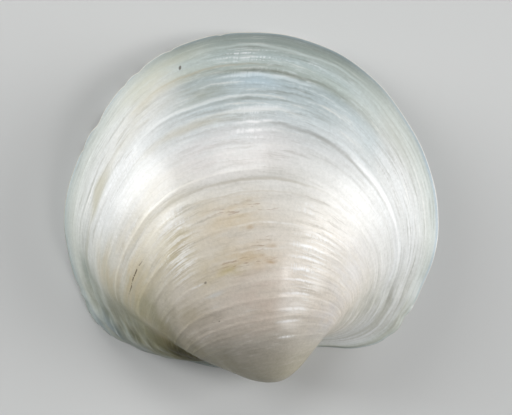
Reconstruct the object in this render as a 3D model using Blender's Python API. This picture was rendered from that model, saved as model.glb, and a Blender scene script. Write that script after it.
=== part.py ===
"""One valve of a toothless lucinid clam: the left one, lying on its margin with the outside up.

The shell is one growth rule. Today's margin is drawn smaller and swung up about the hinge line,
age by age, until it closes in the beak. Growth stops stand out on it as low ledges.

Lengths are in millimetres until the mesh is made. X points to the front end, where the beak
leans, Y to the lower margin and Z out of the shell.
"""

import math

import bmesh
import bpy
import numpy as np
from mathutils import Vector, geometry
from mathutils.bvhtree import BVHTree

MM = 0.001

# Driving dimensions, in millimetres. The valve is 50 long and 46.6 from beak to lower margin.
DEPTH = 18.0  # from the plane of the margin to the top of the dome
WALL = 1.1  # wall in the middle of the valve
EDGE_WALL = 0.7  # wall just inside the margin
THICKENING = 6.0  # distance from the margin over which the wall reaches its full thickness
RIM_WIDTH = 0.8  # flat edge that the valve rests on
LIP = 0.35  # least thickness of the shell above that edge
LIP_AGE = 0.04  # age at which the outer face has risen to the lip
HINGE_PLATE = 3.3  # width of that flat edge under the beak
HINGE_SIDE = (-19.0, -13.0)  # the edge is that wide below the first Y and plain above the other
LIGAMENT_GROOVE = 0.45  # depth of the groove in the hinge plate behind the beak
GROOVE_BACK = (-15.0, -11.0)  # X over which the groove deepens, from the back
GROOVE_FRONT = (-1.0, 2.0)  # X over which it runs out under the beak
SULCUS = 0.5  # depth of the crease that runs from the beak to the back margin
RELIEF_REACH = (1.0, 9.0)  # distance from the hinge line over which ledges and crease rise

# Today's margin as (x, y), seen from outside, anticlockwise from the middle of the lower edge
MARGIN = (
    (-0.1, 23.4), (-8.2, 22.1), (-14.6, 18.6), (-19.9, 12.4), (-23.3, 5.9), (-24.9, -0.6),
    (-24.4, -6.0), (-22.6, -11.8), (-20.5, -15.7), (-16.4, -18.3), (-12.2, -19.6),
    (-8.2, -20.6), (-3.6, -21.5), (0.9, -20.9), (5.0, -19.5), (9.6, -18.8), (14.8, -18.8),
    (18.5, -17.4), (21.0, -14.7), (22.8, -11.0), (24.6, -6.4), (25.1, -1.6), (24.0, 5.0),
    (20.6, 12.0), (15.4, 18.1), (8.5, 22.0),
)

# Growth: the apex that every former margin closes on, and how they turn on the way.
# Age is 0 at today's margin, and a margin of age a is exp(-a) of today's size.
APEX = (3.8, -19.6, 2.1)
HINGE_YAW = math.radians(10.9)  # the hinge line rises this much towards the front
SKEW = math.radians(27.3)  # how far the youngest shell had turned in its own plane
SWING = 0.8765  # steady swing about the hinge line, in radians for each unit of age
LATE_SWING = 0.513  # further swing that built up over the last stretch, in radians
LATE_SPAN = 0.303  # that stretch, in units of age
OLDEST = 4.2  # age at which the beak's tip is closed

# Growth stops as (age, height of the ledge in millimetres)
GROWTH_STOPS = (
    (0.101, 0.30), (0.172, 0.15), (0.228, 0.28), (0.370, 0.18),
    (0.507, 0.16), (0.809, 0.18), (0.922, 0.14), (0.990, 0.12),
)
LEDGE_DROP = 0.010  # age over which a ledge falls to the younger shell
LEDGE_FADE = 0.045  # age over which it dies away towards the beak
SMOOTH_EDGE = 0.04  # age below which the shell has no relief, so that the margin lies flat

# The crease behind the dome, by the bearing of the margin points as seen from the apex
SULCUS_BEARING = math.radians(148)
SULCUS_SPREAD = math.radians(5)
SULCUS_AGES = (0.02, 0.5, 1.0, 1.6)  # it deepens over the first two and fades over the others

# The flat edge from outside to inside, as (share of its width, share of the groove's depth)
GROOVE_PROFILE = ((0.50, 0.0), (0.62, 1.0), (0.74, 0.0), (1.0, 0.0))

# How finely the shell is drawn
AROUND = 84  # points round each former margin
DOME_STEP = 0.055  # age between the rings of the dome, which ends at DOME_AGE
DOME_AGE = 1.1
BEAK_RINGS = 14
LEDGE_ROOM = 0.02  # no plain ring is closer in age than this to one that draws a ledge
FINE_AROUND = 252  # points round each ring of the finer face that the inside is measured from
FINE_AGES = 150
CURVE_STEPS = 33  # points read from each stretch of the margin's curve
BOWL_CENTRE = (-1.0, -2.0)  # plan position of the middle of the inside
INSIDE_STEPS = (0.018, 0.04, 0.075, 0.125, 0.20, 0.30, 0.42, 0.55, 0.68, 0.80, 0.91)
INSIDE_SMOOTHING = 3  # passes of smoothing round each ring of the inside


def clear_scene():
    for thing in list(bpy.data.objects):
        bpy.data.objects.remove(thing, do_unlink=True)


def smooth_step(value, low, high):
    share = np.clip((value - low) / (high - low), 0.0, 1.0)
    return share * share * (3.0 - 2.0 * share)


def margin_line(count):
    """Today's margin: a closed smooth curve through MARGIN, read at equal steps of length."""
    curve = bpy.data.curves.new("margin_guide", "CURVE")
    spline = curve.splines.new("BEZIER")
    spline.bezier_points.add(len(MARGIN) - 1)
    spline.use_cyclic_u = True
    for point, (x, y) in zip(spline.bezier_points, MARGIN):
        point.co = (x, y, 0.0)
        point.handle_left_type = point.handle_right_type = "AUTO"
    guide = bpy.data.objects.new("margin_guide", curve)
    bpy.context.scene.collection.objects.link(guide)
    bpy.context.view_layer.update()
    fine = []
    for i, point in enumerate(spline.bezier_points):
        after = spline.bezier_points[(i + 1) % len(spline.bezier_points)]
        piece = geometry.interpolate_bezier(
            point.co, point.handle_right, after.handle_left, after.co, CURVE_STEPS
        )
        fine.extend(piece[:-1])
    bpy.data.objects.remove(guide)
    bpy.data.curves.remove(curve)
    fine = np.array([p[:2] for p in fine + fine[:1]])
    run = np.concatenate([[0.0], np.cumsum(np.linalg.norm(np.diff(fine, axis=0), axis=1))])
    at = np.linspace(0.0, run[-1], count, endpoint=False)
    return np.stack([np.interp(at, run, fine[:, k]) for k in range(2)], axis=1)


def bearings(margin):
    """Direction of each margin point from the apex: 0 is to the front, a quarter turn down."""
    angle = np.arctan2(margin[:, 1] - APEX[1], margin[:, 0] - APEX[0])
    return np.where(angle < -math.pi / 2, angle + 2 * math.pi, angle)


def former_margin(margin, age):
    """The margin at that age, turned in its plane, swung up and drawn to the apex, and how far
    each of its points is from the hinge line."""
    out = np.column_stack([margin - APEX[:2], np.full(len(margin), -APEX[2])])
    skew = SKEW * (1.0 - math.exp(-age))
    swing = SWING * age + LATE_SWING * (1.0 - math.exp(-age / LATE_SPAN))
    x = out[:, 0] * math.cos(skew) - out[:, 1] * math.sin(skew)
    y = out[:, 0] * math.sin(skew) + out[:, 1] * math.cos(skew)
    out = np.column_stack([x, y, out[:, 2]])
    hinge = np.array([math.cos(HINGE_YAW), math.sin(HINGE_YAW), 0.0])
    along = (out @ hinge)[:, None] * hinge
    across = out - along
    swung = along + across * math.cos(swing) + np.cross(hinge, across) * math.sin(swing)
    size = math.exp(-age)
    return np.array(APEX) + size * swung, size * np.linalg.norm(across, axis=1)


def over_the_lip(height, ages):
    """The height, eased up to the lip where the outer face would come down to the flat edge."""
    lip = LIP * smooth_step(ages, 0.0, LIP_AGE)[:, None]
    ease = 0.6 * lip
    return (height + lip + np.sqrt((height - lip) ** 2 + ease**2)) / 2


def plain_shell(margin, ages):
    """The outer face without relief, ring by ring from the margin to the beak."""
    grown = [former_margin(margin, age) for age in ages]
    rings = np.array([places for places, _ in grown])
    rings[:, :, 2] *= DEPTH / rings[:, :, 2].max()
    rings[:, :, 2] = over_the_lip(rings[:, :, 2], ages)
    return rings, np.array([reach for _, reach in grown])


def ledge_height(age):
    """Relief of the growth stops at an age, in millimetres above the plain shell."""
    height = 0.0
    for stop, tall in GROWTH_STOPS:
        if age >= stop:
            height += tall * math.exp(-(age - stop) / LEDGE_FADE)
        else:
            height += tall * max(0.0, 1.0 - (stop - age) / LEDGE_DROP)
    return height


def ring_ages():
    """Ages of the rings of the mesh: two at each ledge, and plain ones between them."""
    ledges = [stop - drop for stop, _ in GROWTH_STOPS for drop in (LEDGE_DROP, 0.0)]
    dome = np.arange(0.0, DOME_AGE, DOME_STEP)
    plain = np.concatenate([dome, np.geomspace(DOME_AGE, OLDEST, BEAK_RINGS)])
    between = [age for age in plain if min(abs(age - edge) for edge in ledges) > LEDGE_ROOM]
    return np.array(sorted(ledges + between))


def surface_normals(rings):
    """Outward direction at each point of the grid of rings."""
    round_it = np.roll(rings, -1, axis=1) - np.roll(rings, 1, axis=1)
    up_it = np.gradient(rings, axis=0)
    out = np.cross(round_it, up_it)
    out /= np.maximum(np.linalg.norm(out, axis=2, keepdims=True), 1e-9)
    return -out if out[0, 0, 1] < 0 else out


def outside_rings(margin, ages):
    """The outer face with its ledges and the crease. Both die out at the resting edge, and
    towards the hinge line, where the shell grew least."""
    plain, reach = plain_shell(margin, ages)
    ledges = np.array([ledge_height(age) for age in ages])[:, None]
    off_bearing = (bearings(margin) - SULCUS_BEARING) / SULCUS_SPREAD
    deep = smooth_step(ages, *SULCUS_AGES[:2]) * (1.0 - smooth_step(ages, *SULCUS_AGES[2:]))
    relief = ledges - SULCUS * deep[:, None] * np.exp(-(off_bearing**2))
    relief = relief * smooth_step(reach, *RELIEF_REACH)
    relief = relief * smooth_step(ages, 0.0, SMOOTH_EDGE)[:, None]
    return plain + surface_normals(plain) * relief[:, :, None]


def grid_faces(rings, around):
    """Quads between each ring of points and the next."""
    return [
        (k * around + i, k * around + j, (k + 1) * around + j, (k + 1) * around + i)
        for k in range(rings - 1)
        for i, j in zip(range(around), [*range(1, around), 0])
    ]


def fan_faces(ring, tip):
    """Triangles from the ring whose points start at that number to one tip."""
    return [(ring + i, ring + (i + 1) % AROUND, tip) for i in range(AROUND)]


def fine_ceiling():
    """The plain outer face on a finer grid, as something that rays can be cast at."""
    rings, _ = plain_shell(margin_line(FINE_AROUND), np.linspace(0.0, OLDEST / 2, FINE_AGES))
    points = [Vector(point) for point in rings.reshape(-1, 3)]
    return BVHTree.FromPolygons(points, grid_faces(FINE_AGES, FINE_AROUND))


def inward(margin):
    """Unit direction in plan from each margin point into the valve."""
    along = np.roll(margin, -1, axis=0) - np.roll(margin, 1, axis=0)
    along /= np.linalg.norm(along, axis=1, keepdims=True)
    left = np.column_stack([-along[:, 1], along[:, 0]])
    return left if (left * -margin).sum() > 0 else -left


def flat_edge(margin):
    """Rings of the flat face that the valve rests on, with the ligament's groove in it."""
    x, y = margin.T
    near_hinge = 1.0 - smooth_step(y, *HINGE_SIDE)
    width = RIM_WIDTH + (HINGE_PLATE - RIM_WIDTH) * near_hinge
    behind_beak = smooth_step(x, *GROOVE_BACK) - smooth_step(x, *GROOVE_FRONT)
    groove = LIGAMENT_GROOVE * behind_beak * near_hinge
    rings = []
    for share, raised in GROOVE_PROFILE:
        place = margin + inward(margin) * (share * width)[:, None]
        rings.append(np.column_stack([place, groove * raised]))
    return rings, width


def inside_rings(edge, width):
    """The inner face: rays up to the outer face, stepped back from it by the wall."""
    ceiling = fine_ceiling()
    rings = []
    for share in INSIDE_STEPS:
        plan = edge[:, :2] * (1.0 - share) + np.array(BOWL_CENTRE) * share
        run = np.linalg.norm(plan - edge[:, :2], axis=1)
        ring = []
        for (x, y), gone, wide, start in zip(plan, run, width, edge):
            hit, normal, _, _ = ceiling.ray_cast(Vector((x, y, -1.0)), Vector((0.0, 0.0, 1.0)))
            facing = normal if normal.z > 0.0 else -normal
            wall = EDGE_WALL + (WALL - EDGE_WALL) * min(1.0, gone / THICKENING)
            bowl = np.array(hit - facing * wall)
            bowl[2] = max(bowl[2], start[2])
            settled = float(smooth_step(gone, 0.0, 2.0 * wide))
            ring.append(start * (1.0 - settled) + bowl * settled)
        ring = np.array(ring)
        for _ in range(INSIDE_SMOOTHING):
            ring = (np.roll(ring, 1, axis=0) + 2.0 * ring + np.roll(ring, -1, axis=0)) / 4.0
        rings.append(ring)
    x, y = BOWL_CENTRE
    top, _, _, _ = ceiling.ray_cast(Vector((x, y, -1.0)), Vector((0.0, 0.0, 1.0)))
    return rings, np.array(top) - np.array([0.0, 0.0, WALL])


def valve_mesh():
    margin = margin_line(AROUND)
    outside = outside_rings(margin, ring_ages())
    edge_rings, width = flat_edge(margin)
    inside, bowl_top = inside_rings(edge_rings[-1], width)
    # From the beak's tip over the outside to the flat edge, then up the inside to its top
    rings = list(outside[::-1]) + edge_rings + inside
    beak_tip = outside[-1].mean(axis=0)
    points = np.concatenate([*rings, beak_tip[None], bowl_top[None]])
    low, high = points.min(axis=0), points.max(axis=0)
    middle = (low + high) / 2
    points -= (middle[0], middle[1], low[2])
    faces = grid_faces(len(rings), AROUND) + fan_faces(0, len(points) - 2)
    faces += fan_faces((len(rings) - 1) * AROUND, len(points) - 1)
    mesh = bpy.data.meshes.new("left_valve")
    mesh.from_pydata((points * MM).tolist(), [], faces)
    shape = bmesh.new()
    shape.from_mesh(mesh)
    bmesh.ops.triangulate(shape, faces=shape.faces)
    bmesh.ops.recalc_face_normals(shape, faces=shape.faces)
    shape.to_mesh(mesh)
    shape.free()
    mesh.set_sharp_from_angle(angle=math.radians(50))
    return mesh


def shell_material():
    """Aragonite shell: chalky white with a warm tinge and a low porcelain gloss."""
    material = bpy.data.materials.new("aragonite_shell")
    material.use_nodes = True
    shader = material.node_tree.nodes["Principled BSDF"]
    shader.inputs["Base Color"].default_value = (0.72, 0.70, 0.63, 1.0)
    shader.inputs["Roughness"].default_value = 0.38
    shader.inputs["Metallic"].default_value = 0.0
    return material


def main():
    clear_scene()
    valve = bpy.data.objects.new("left_valve", valve_mesh())
    valve.data.materials.append(shell_material())
    bpy.context.scene.collection.objects.link(valve)


main()
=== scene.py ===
# %% [markdown]
# # One valve of a toothless lucinid clam
#
# The subject is a single white sea shell lying with its outside up on a pale table. A clam's
# shell is grown, not built: the animal adds a thin layer along the margin again and again, so
# every former margin is still there as a line. This lesson grows the valve by that rule in
# Geometry Nodes, gives it a porcelain finish, and photographs it from straight above.

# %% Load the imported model
import math

import bmesh
import bpy
import numpy as np
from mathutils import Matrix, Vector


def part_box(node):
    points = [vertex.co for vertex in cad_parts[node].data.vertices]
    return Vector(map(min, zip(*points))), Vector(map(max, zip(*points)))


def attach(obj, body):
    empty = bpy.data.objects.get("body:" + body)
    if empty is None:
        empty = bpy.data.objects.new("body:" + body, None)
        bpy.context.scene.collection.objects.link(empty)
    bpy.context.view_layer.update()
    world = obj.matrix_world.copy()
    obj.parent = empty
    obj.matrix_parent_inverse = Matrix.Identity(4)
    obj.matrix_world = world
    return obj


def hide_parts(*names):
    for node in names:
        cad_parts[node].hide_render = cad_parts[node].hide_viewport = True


MM = 1000.0  # millimetres in a metre
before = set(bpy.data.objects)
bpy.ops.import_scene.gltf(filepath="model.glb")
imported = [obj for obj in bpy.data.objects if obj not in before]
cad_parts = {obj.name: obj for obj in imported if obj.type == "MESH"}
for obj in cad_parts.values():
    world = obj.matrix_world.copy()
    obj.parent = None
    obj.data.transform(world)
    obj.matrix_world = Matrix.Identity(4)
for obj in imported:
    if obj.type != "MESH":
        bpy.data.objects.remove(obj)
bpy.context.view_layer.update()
valve_low, valve_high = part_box("left_valve")
print("CAD box in mm:", [round(MM * side, 2) for side in valve_high - valve_low])

# %% [markdown]
# ## Small helpers
#
# Node trees get long, so one function adds any node, with its settings and links, to the tree
# that was started last. A node is often wanted in one of its modes, such as a math node that
# multiplies, so the usual modes have names. Colours are written as the hex values that a
# colour picker shows, and the last function turns them into linear light for Blender.

# %% Kinds of node
MATH = "ShaderNodeMath"
VECTOR = "ShaderNodeVectorMath"
RANGE = "ShaderNodeMapRange"
NOISE = "ShaderNodeTexNoise"
MIX = "ShaderNodeMix"
COMBINE = "ShaderNodeCombineXYZ"
SEPARATE = "ShaderNodeSeparateXYZ"
GROUP = "GeometryNodeGroup"
PLACE = "GeometryNodeSetPosition"
STORE = "GeometryNodeStoreNamedAttribute"
READ = "GeometryNodeInputNamedAttribute"
MERGE = "GeometryNodeMergeByDistance"


def modes(kind, names):
    """One kind of node in each of these modes, as put takes it."""
    return [(kind, {"operation": name}) for name in names.split()]


ADD, SUBTRACT, MULTIPLY, DIVIDE, MULTIPLY_ADD, MAXIMUM, EXPONENT = modes(
    MATH, "ADD SUBTRACT MULTIPLY DIVIDE MULTIPLY_ADD MAXIMUM EXPONENT"
)
V_ADD, V_SUBTRACT, V_MULTIPLY, V_SCALE, V_LENGTH = modes(
    VECTOR, "ADD SUBTRACT MULTIPLY SCALE LENGTH"
)
UP = (0.0, 0.0, 1.0)
print("a math node that multiplies is", MULTIPLY)


# %% Helpers
tree = None  # the tree that nodes are added to, which is the one started last


def feed(value, socket):
    """Feed an input with a plain value, a hex colour, an output or a node's first output."""
    if isinstance(value, bpy.types.Node):
        value = next(output for output in value.outputs if output.enabled)
    if isinstance(value, bpy.types.NodeSocket):
        tree.links.new(value, socket)
    elif value is not None:
        socket.default_value = linear(value) if socket.type == "RGBA" else value


def put(kind, *values, into=None, **settings):
    """Add one node. Values go to its inputs in order, and those of into go by input name."""
    kind, mode = kind if isinstance(kind, tuple) else (kind, {})
    node = tree.nodes.new(kind)
    for name, setting in (mode | settings).items():
        setattr(node, name, setting)
    inputs = [socket for socket in node.inputs if socket.enabled]
    for socket, value in zip(inputs, values):
        feed(value, socket)
    for name, value in (into or {}).items():
        feed(value, next(socket for socket in inputs if socket.name == name))
    return node


def node_tree(name, inputs, outputs):
    """Start a node group with outputs {name: type} and inputs {name: (type, value)}, where a
    number alone is a float input."""
    global tree
    tree = bpy.data.node_groups.new(name, "GeometryNodeTree")
    for label, form in inputs.items():
        form, value = form if isinstance(form, tuple) else ("Float", form)
        socket = tree.interface.new_socket(label, in_out="INPUT", socket_type="NodeSocket" + form)
        if value is not None:
            socket.default_value = value
    for label, form in outputs.items():
        tree.interface.new_socket(label, in_out="OUTPUT", socket_type="NodeSocket" + form)
    return tree, put("NodeGroupInput").outputs, put("NodeGroupOutput").inputs


def deliver(result, **values):
    """Feed the outputs of a node group by name."""
    for name, value in values.items():
        feed(value, result[name])


def times(*factors):
    """The product of some numbers or outputs."""
    product, *others = factors
    for factor in others:
        product = put(MULTIPLY, product, factor)
    return product


def eased(value, start, end, first=0.0, last=1.0):
    """A smooth step from one value to another."""
    return put(RANGE, value, start, end, first, last, interpolation_type="SMOOTHSTEP")


def linear(hex_colour):
    """An sRGB colour such as "#e9e7df" as linear red, green, blue and alpha."""
    parts = [int(hex_colour[k : k + 2], 16) / 255 for k in (1, 3, 5)]
    light = [p / 12.92 if p <= 0.04045 else ((p + 0.055) / 1.055) ** 2.4 for p in parts]
    return (*light, 1.0)


print("porcelain white as linear light:", [round(c, 3) for c in linear("#f2efe6")[:3]])

# %% [markdown]
# ## Today's margin
#
# The margin is the one line that has to be drawn. It is a closed curve lying flat on the
# table, nearly round, with a blunt corner at each end of the short hinge below the beak.
# It could be traced as a dense polygon, but a Bezier curve with automatic handles needs only
# a few points and stays smooth however finely the shell is drawn later.

# %% Margin curve
# X points to the front end, Y to the lower margin and Z out of the shell. Millimetres.
MARGIN = (
    (-0.1, 23.4), (-8.2, 22.1), (-14.6, 18.6), (-19.9, 12.4), (-23.3, 5.9), (-24.9, -0.6),
    (-24.4, -6.0), (-22.6, -11.8), (-20.5, -15.7), (-16.4, -18.3), (-12.2, -19.6), (-8.2, -20.6),
    (-3.6, -21.5), (0.9, -20.9), (5.0, -19.5), (9.6, -18.8), (14.8, -18.8), (18.5, -17.4),
    (21.0, -14.7), (22.8, -11.0), (24.6, -6.4), (25.1, -1.6), (24.0, 5.0), (20.6, 12.0),
    (15.4, 18.1), (8.5, 22.0),
)

margin_curve = bpy.data.curves.new("margin", "CURVE")
margin_curve.dimensions = "3D"
margin_curve.resolution_u = 32
spline = margin_curve.splines.new("BEZIER")
spline.bezier_points.add(len(MARGIN) - 1)
spline.use_cyclic_u = True
for point, (x, y) in zip(spline.bezier_points, MARGIN):
    point.co = (x, y, 0.0)
    point.handle_left_type = point.handle_right_type = "AUTO"
margin = bpy.data.objects.new("margin", margin_curve)
bpy.context.scene.collection.objects.link(margin)
bpy.context.view_layer.update()
print("the margin is", round(spline.calc_length(), 1), "mm round")

# %% [markdown]
# ## The growth rule
#
# Each former margin is today's margin drawn smaller towards one fixed point under the beak,
# turned a little in its own plane and swung up about the hinge line. Age is 0 today, and a
# margin of age a is exp(-a) of today's size, so equal steps of age are equal ratios of size.
# That one rule gives the dome, the forward lean and the curl of the beak. A dome could be
# sculpted by hand instead, but then its growth lines would not follow it by themselves.

# %% Growth rule as a node group
APEX = (3.8, -19.6, 2.1)
HINGE_YAW = math.radians(10.9)  # the hinge line rises this much towards the front
HINGE = (math.cos(HINGE_YAW), math.sin(HINGE_YAW), 0.0)
SKEW = math.radians(27.3)  # how far the youngest shell had turned in its own plane
SWING = 0.8765  # steady swing about the hinge line, in radians for each unit of age
LATE_SWING = 0.513  # further swing that built up over the last stretch
LATE_SPAN = 0.303  # that stretch, in units of age

growth, given, result = node_tree(
    "former margin",
    {"Point": ("Vector", None), "Age": 0.0},
    {"Place": "Vector", "Reach": "Float"},
)
back = put(MULTIPLY, given["Age"], -1.0)
size = put(EXPONENT, back)
younger = put(SUBTRACT, 1.0, size)
skew = put(MULTIPLY, younger, SKEW)
late = put(EXPONENT, put(DIVIDE, back, LATE_SPAN))
late = put(MULTIPLY_ADD, late, -LATE_SWING, LATE_SWING)
swing = put(MULTIPLY_ADD, given["Age"], SWING, late)
arm = put(V_SUBTRACT, given["Point"], APEX)
arm = put("ShaderNodeVectorRotate", arm, into={"Angle": skew}, rotation_type="Z_AXIS")
arm = put("ShaderNodeVectorRotate", arm, into={"Axis": HINGE, "Angle": swing})
arm = put(V_SCALE, arm, size)
off_hinge = put(VECTOR, arm, HINGE, operation="CROSS_PRODUCT")
deliver(result, Place=put(V_ADD, arm, APEX), Reach=put(V_LENGTH, off_hinge))
print("the growth rule takes", len(growth.nodes), "nodes")

# %% [markdown]
# ## A bump at one bearing
#
# Chips, ledges and the crease all sit at some bearing of the margin, seen from the apex, and
# fade to both sides. One small group gives that bell shape, so each of them is one node.

# %% Bell group
bell, given, result = node_tree(
    "bell",
    {"Value": 0.0, "Centre": 0.0, "Spread": 1.0, "Height": 1.0, "Least": 0.0},
    {"Height": "Float"},
)
aside = put(SUBTRACT, given["Value"], given["Centre"])
aside = put(DIVIDE, aside, given["Spread"])
aside = put(MULTIPLY, aside, aside)
aside = put(EXPONENT, put(MULTIPLY, aside, -1.0))
share = put(RANGE, aside, 0.0, 1.0, given["Least"], 1.0)
deliver(result, Height=put(MULTIPLY, share, given["Height"]))


def bump(bearing, centre, spread, height, least=0.0):
    """A bell of that height round the shell, with its centre and spread in degrees."""
    place = (math.radians(centre), math.radians(spread))
    return put(GROUP, bearing, *place, height, least, node_tree=bell)


print("a bell takes", len(bell.nodes), "nodes")

# %% [markdown]
# ## Reading the margin, with its chips
#
# Every part of the valve starts from a point on the margin: where it is, which way is
# inward, and its bearing from the apex. The thin edge of a beached shell is also chipped
# here and there. A chip could be cut with a Boolean, but it is simpler to start the shell at
# a slightly older margin there, because that is what breaking back to an older line means.

# %% Margin reading
# Chips as (bearing in degrees, spread in degrees, age that they break back to)
CHIPS = (
    (100.2, 0.7, 0.004), (109.7, 0.8, 0.005), (116.2, 0.9, 0.007), (119.9, 0.8, 0.006),
    (128.0, 1.6, 0.012), (133.6, 0.9, 0.008), (168.6, 1.2, 0.01), (174.0, 1.4, 0.012),
    (14.4, 1.8, 0.007), (19.2, 1.2, 0.006),
)
# Near the hinge an older line lies hardly further in, so nicks are cut straight into the edge
# there, as (bearing in degrees, spread in degrees, depth in mm)
NICKS = (
    (161.5, 1.0, 0.18), (165.0, 1.0, 0.18), (171.4, 0.9, 0.26), (175.7, 0.9, 0.5),
    (15.8, 1.3, 0.26), (8.6, 1.3, 0.12),
)
BEARINGS = (1.5 * math.pi, -0.5 * math.pi)  # bearings run from -90 to 270 degrees


def bearing_of(place):
    """The bearing of a place seen from the apex, in radians: 0 is to the front."""
    turn = put(MATH, place["Y"], place["X"], operation="ARCTAN2")
    return put(MATH, turn, *BEARINGS, operation="WRAP")


reading, given, result = node_tree(
    "margin reading",
    {"Curve": ("Geometry", None), "Around": 0.0},
    {"Point": "Vector", "Inward": "Vector", "Bearing": "Float", "Chip": "Float", "Nick": "Vector"},
)
names = {"Curves": given["Curve"], "Factor": given["Around"]}
sample = put("GeometryNodeSampleCurve", into=names, mode="FACTOR", use_all_curves=True)
point = sample.outputs["Position"]
inward = put(VECTOR, UP, sample.outputs["Tangent"], operation="CROSS_PRODUCT")
inward = put(VECTOR, inward, operation="NORMALIZE")
arm = put(SEPARATE, put(V_SUBTRACT, point, APEX)).outputs
bearing = bearing_of(arm)
sums = []
for rows in (CHIPS, NICKS):
    total = 0.0
    for row in rows:
        total = put(ADD, total, bump(bearing, *row))
    sums.append(total)
chip, depth = sums
deliver(result, Point=point, Inward=inward, Bearing=bearing)
deliver(result, Chip=chip, Nick=put(V_SCALE, inward, depth))
print("chips in the margin:", len(CHIPS), "and nicks:", len(NICKS))

# %% [markdown]
# ## Relief of the outer face
#
# In a hard season the animal stops adding shell. When it starts again, the new layer begins
# a little lower, and a mark stays: a ridge where the old edge stood, or a pinched groove.
# Between these marks lie crowded growth lines, a few tenths of a millimetre apart. Bump in
# the material could fake them all, but the marks and the coarser lines show on the outline
# too, so they are real here. The lines come from noise that changes quickly with growth and
# slowly round the shell.

# %% Marks of growth stops
# Sizes of the relief in mm, and the seed of its noise
RELIEF = {"Crease depth": 0.5, "Line height": 0.022, "Line spacing": 0.45, "Seed": 3.0}
# (age, height in mm, width in age on the young side and on the old side, bearing in degrees
# where it is strongest, spread, share that is left far from there if any)
MARKS = (
    (0.03, 0.05, 0.008, 0.02, 150, 20), (0.055, 0.04, 0.01, 0.02, 85, 40, 0.3),
    (0.097, 0.07, 0.01, 0.012, 92, 30, 0.15), (0.11, -0.04, 0.008, 0.014, 88, 14),
    (0.138, 0.05, 0.008, 0.02, 60, 40, 0.3), (0.15, -0.15, 0.02, 0.022, 140, 13),
    (0.172, 0.06, 0.007, 0.02, 115, 45, 0.3), (0.225, 0.1, 0.016, 0.022, 48, 32, 0.2),
    (0.24, -0.05, 0.01, 0.02, 62, 30, 0.1), (0.285, 0.05, 0.008, 0.03, 115, 50, 0.3),
    (0.35, 0.09, 0.008, 0.016, 120, 50, 0.3), (0.375, -0.05, 0.006, 0.02, 90, 45, 0.4),
    (0.41, 0.05, 0.006, 0.02, 60, 50, 0.4), (0.507, 0.05, 0.014, 0.024, 115, 45, 0.4),
    (0.575, 0.04, 0.006, 0.014, 80, 50, 0.4), (0.665, 0.04, 0.006, 0.014, 90, 60, 0.4),
    (0.72, 0.03, 0.006, 0.012, 80, 50, 0.4), (0.809, 0.07, 0.008, 0.016, 110, 70, 0.5),
    (0.88, 0.04, 0.006, 0.012, 80, 50, 0.4), (0.922, 0.06, 0.008, 0.016, 125, 70, 0.5),
    (0.99, 0.05, 0.008, 0.014, 125, 70, 0.5), (1.08, 0.04, 0.008, 0.014, 90, 60, 0.4),
)
# Lamellae that stand out at the back end and the front end, in the same terms
LAMELLAE = (
    (0.05, 0.24, 0.01, 0.03, 169, 7), (0.125, -0.24, 0.02, 0.02, 154, 6),
    (0.11, -0.45, 0.04, 0.03, 174, 3), (0.175, -0.16, 0.03, 0.03, 160, 6),
    (0.19, 0.14, 0.012, 0.022, 169, 5), (0.215, 0.3, 0.016, 0.05, 176, 4),
    (0.285, -0.1, 0.035, 0.035, 162, 6), (0.33, 0.12, 0.03, 0.04, 169, 6),
    (0.34, -0.6, 0.035, 0.025, 175, 4), (0.41, 0.6, 0.02, 0.05, 176, 4),
    (0.465, 0.25, 0.024, 0.04, 168, 5), (0.51, -0.6, 0.03, 0.03, 175, 4),
    (0.6, 0.5, 0.03, 0.05, 174, 6), (0.69, 0.25, 0.03, 0.05, 169, 6),
    (0.06, 0.16, 0.016, 0.03, 20, 9), (0.105, -0.14, 0.016, 0.02, 22, 9),
    (0.15, 0.18, 0.018, 0.03, 17, 9), (0.2, -0.14, 0.018, 0.02, 20, 9),
    (0.25, 0.16, 0.018, 0.03, 15, 9), (0.34, 0.14, 0.02, 0.04, 18, 10),
)

relief, given, result = node_tree(
    "outer relief",
    {"Age": 0.0, "Bearing": 0.0, "Reach": 10.0, "Ring age": 1.0} | RELIEF,
    {"Height": "Float"},
)
age, bearing = given["Age"], given["Bearing"]
total = 0.0
for at_age, height, young_side, old_side, centre, spread, *least in MARKS + LAMELLAE:
    since = put(SUBTRACT, age, at_age)
    rise = put(RANGE, since, -young_side, 0.0, 0.0, height)
    fade = put(DIVIDE, put(MAXIMUM, since, 0.0), -old_side)
    fade = put(EXPONENT, fade)
    one = bump(bearing, centre, spread, rise, *least)
    total = put(MULTIPLY_ADD, one, fade, total)
print("growth marks:", len(MARKS), "and lamellae:", len(LAMELLAE))

# %% Crease behind the dome
CREASE_BEARING = math.radians(148)  # where it runs on the dome
CREASE_TURN = math.radians(8)  # how far it has swung towards the hinge on the young shell
CREASE_SPREAD = math.radians(5)
CREASE_TURNS = (0.3, 0.7)  # ages over which it swings back
CREASE_DEEPENS = (0.1, 0.4)  # ages over which it gets deep
CREASE_FADES = (1.0, 1.6)  # ages over which it runs out

turned = put(RANGE, age, *CREASE_TURNS, CREASE_TURN, 0.0)
centre = put(ADD, turned, CREASE_BEARING)
values = (bearing, centre, CREASE_SPREAD, given["Crease depth"])
crease = put(GROUP, *values, node_tree=bell)
fades = eased(age, *CREASE_FADES, 1.0, 0.0)
crease = times(crease, eased(age, *CREASE_DEEPENS), fades)
total = put(SUBTRACT, total, crease)
print("the crease is", math.degrees(CREASE_SPREAD), "degrees to each side")

# %% Growth lines and waves
CHART = 46.0  # mm from the apex to the lower margin: age 0 on the chart of the shell
WANDER = 3.5  # how much the growth lines change round the shell
BACK_FLANK = (152, 18)  # bearing and spread in degrees where the growth lines are lower
CALM = 0.6  # share by which they are lower there
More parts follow.
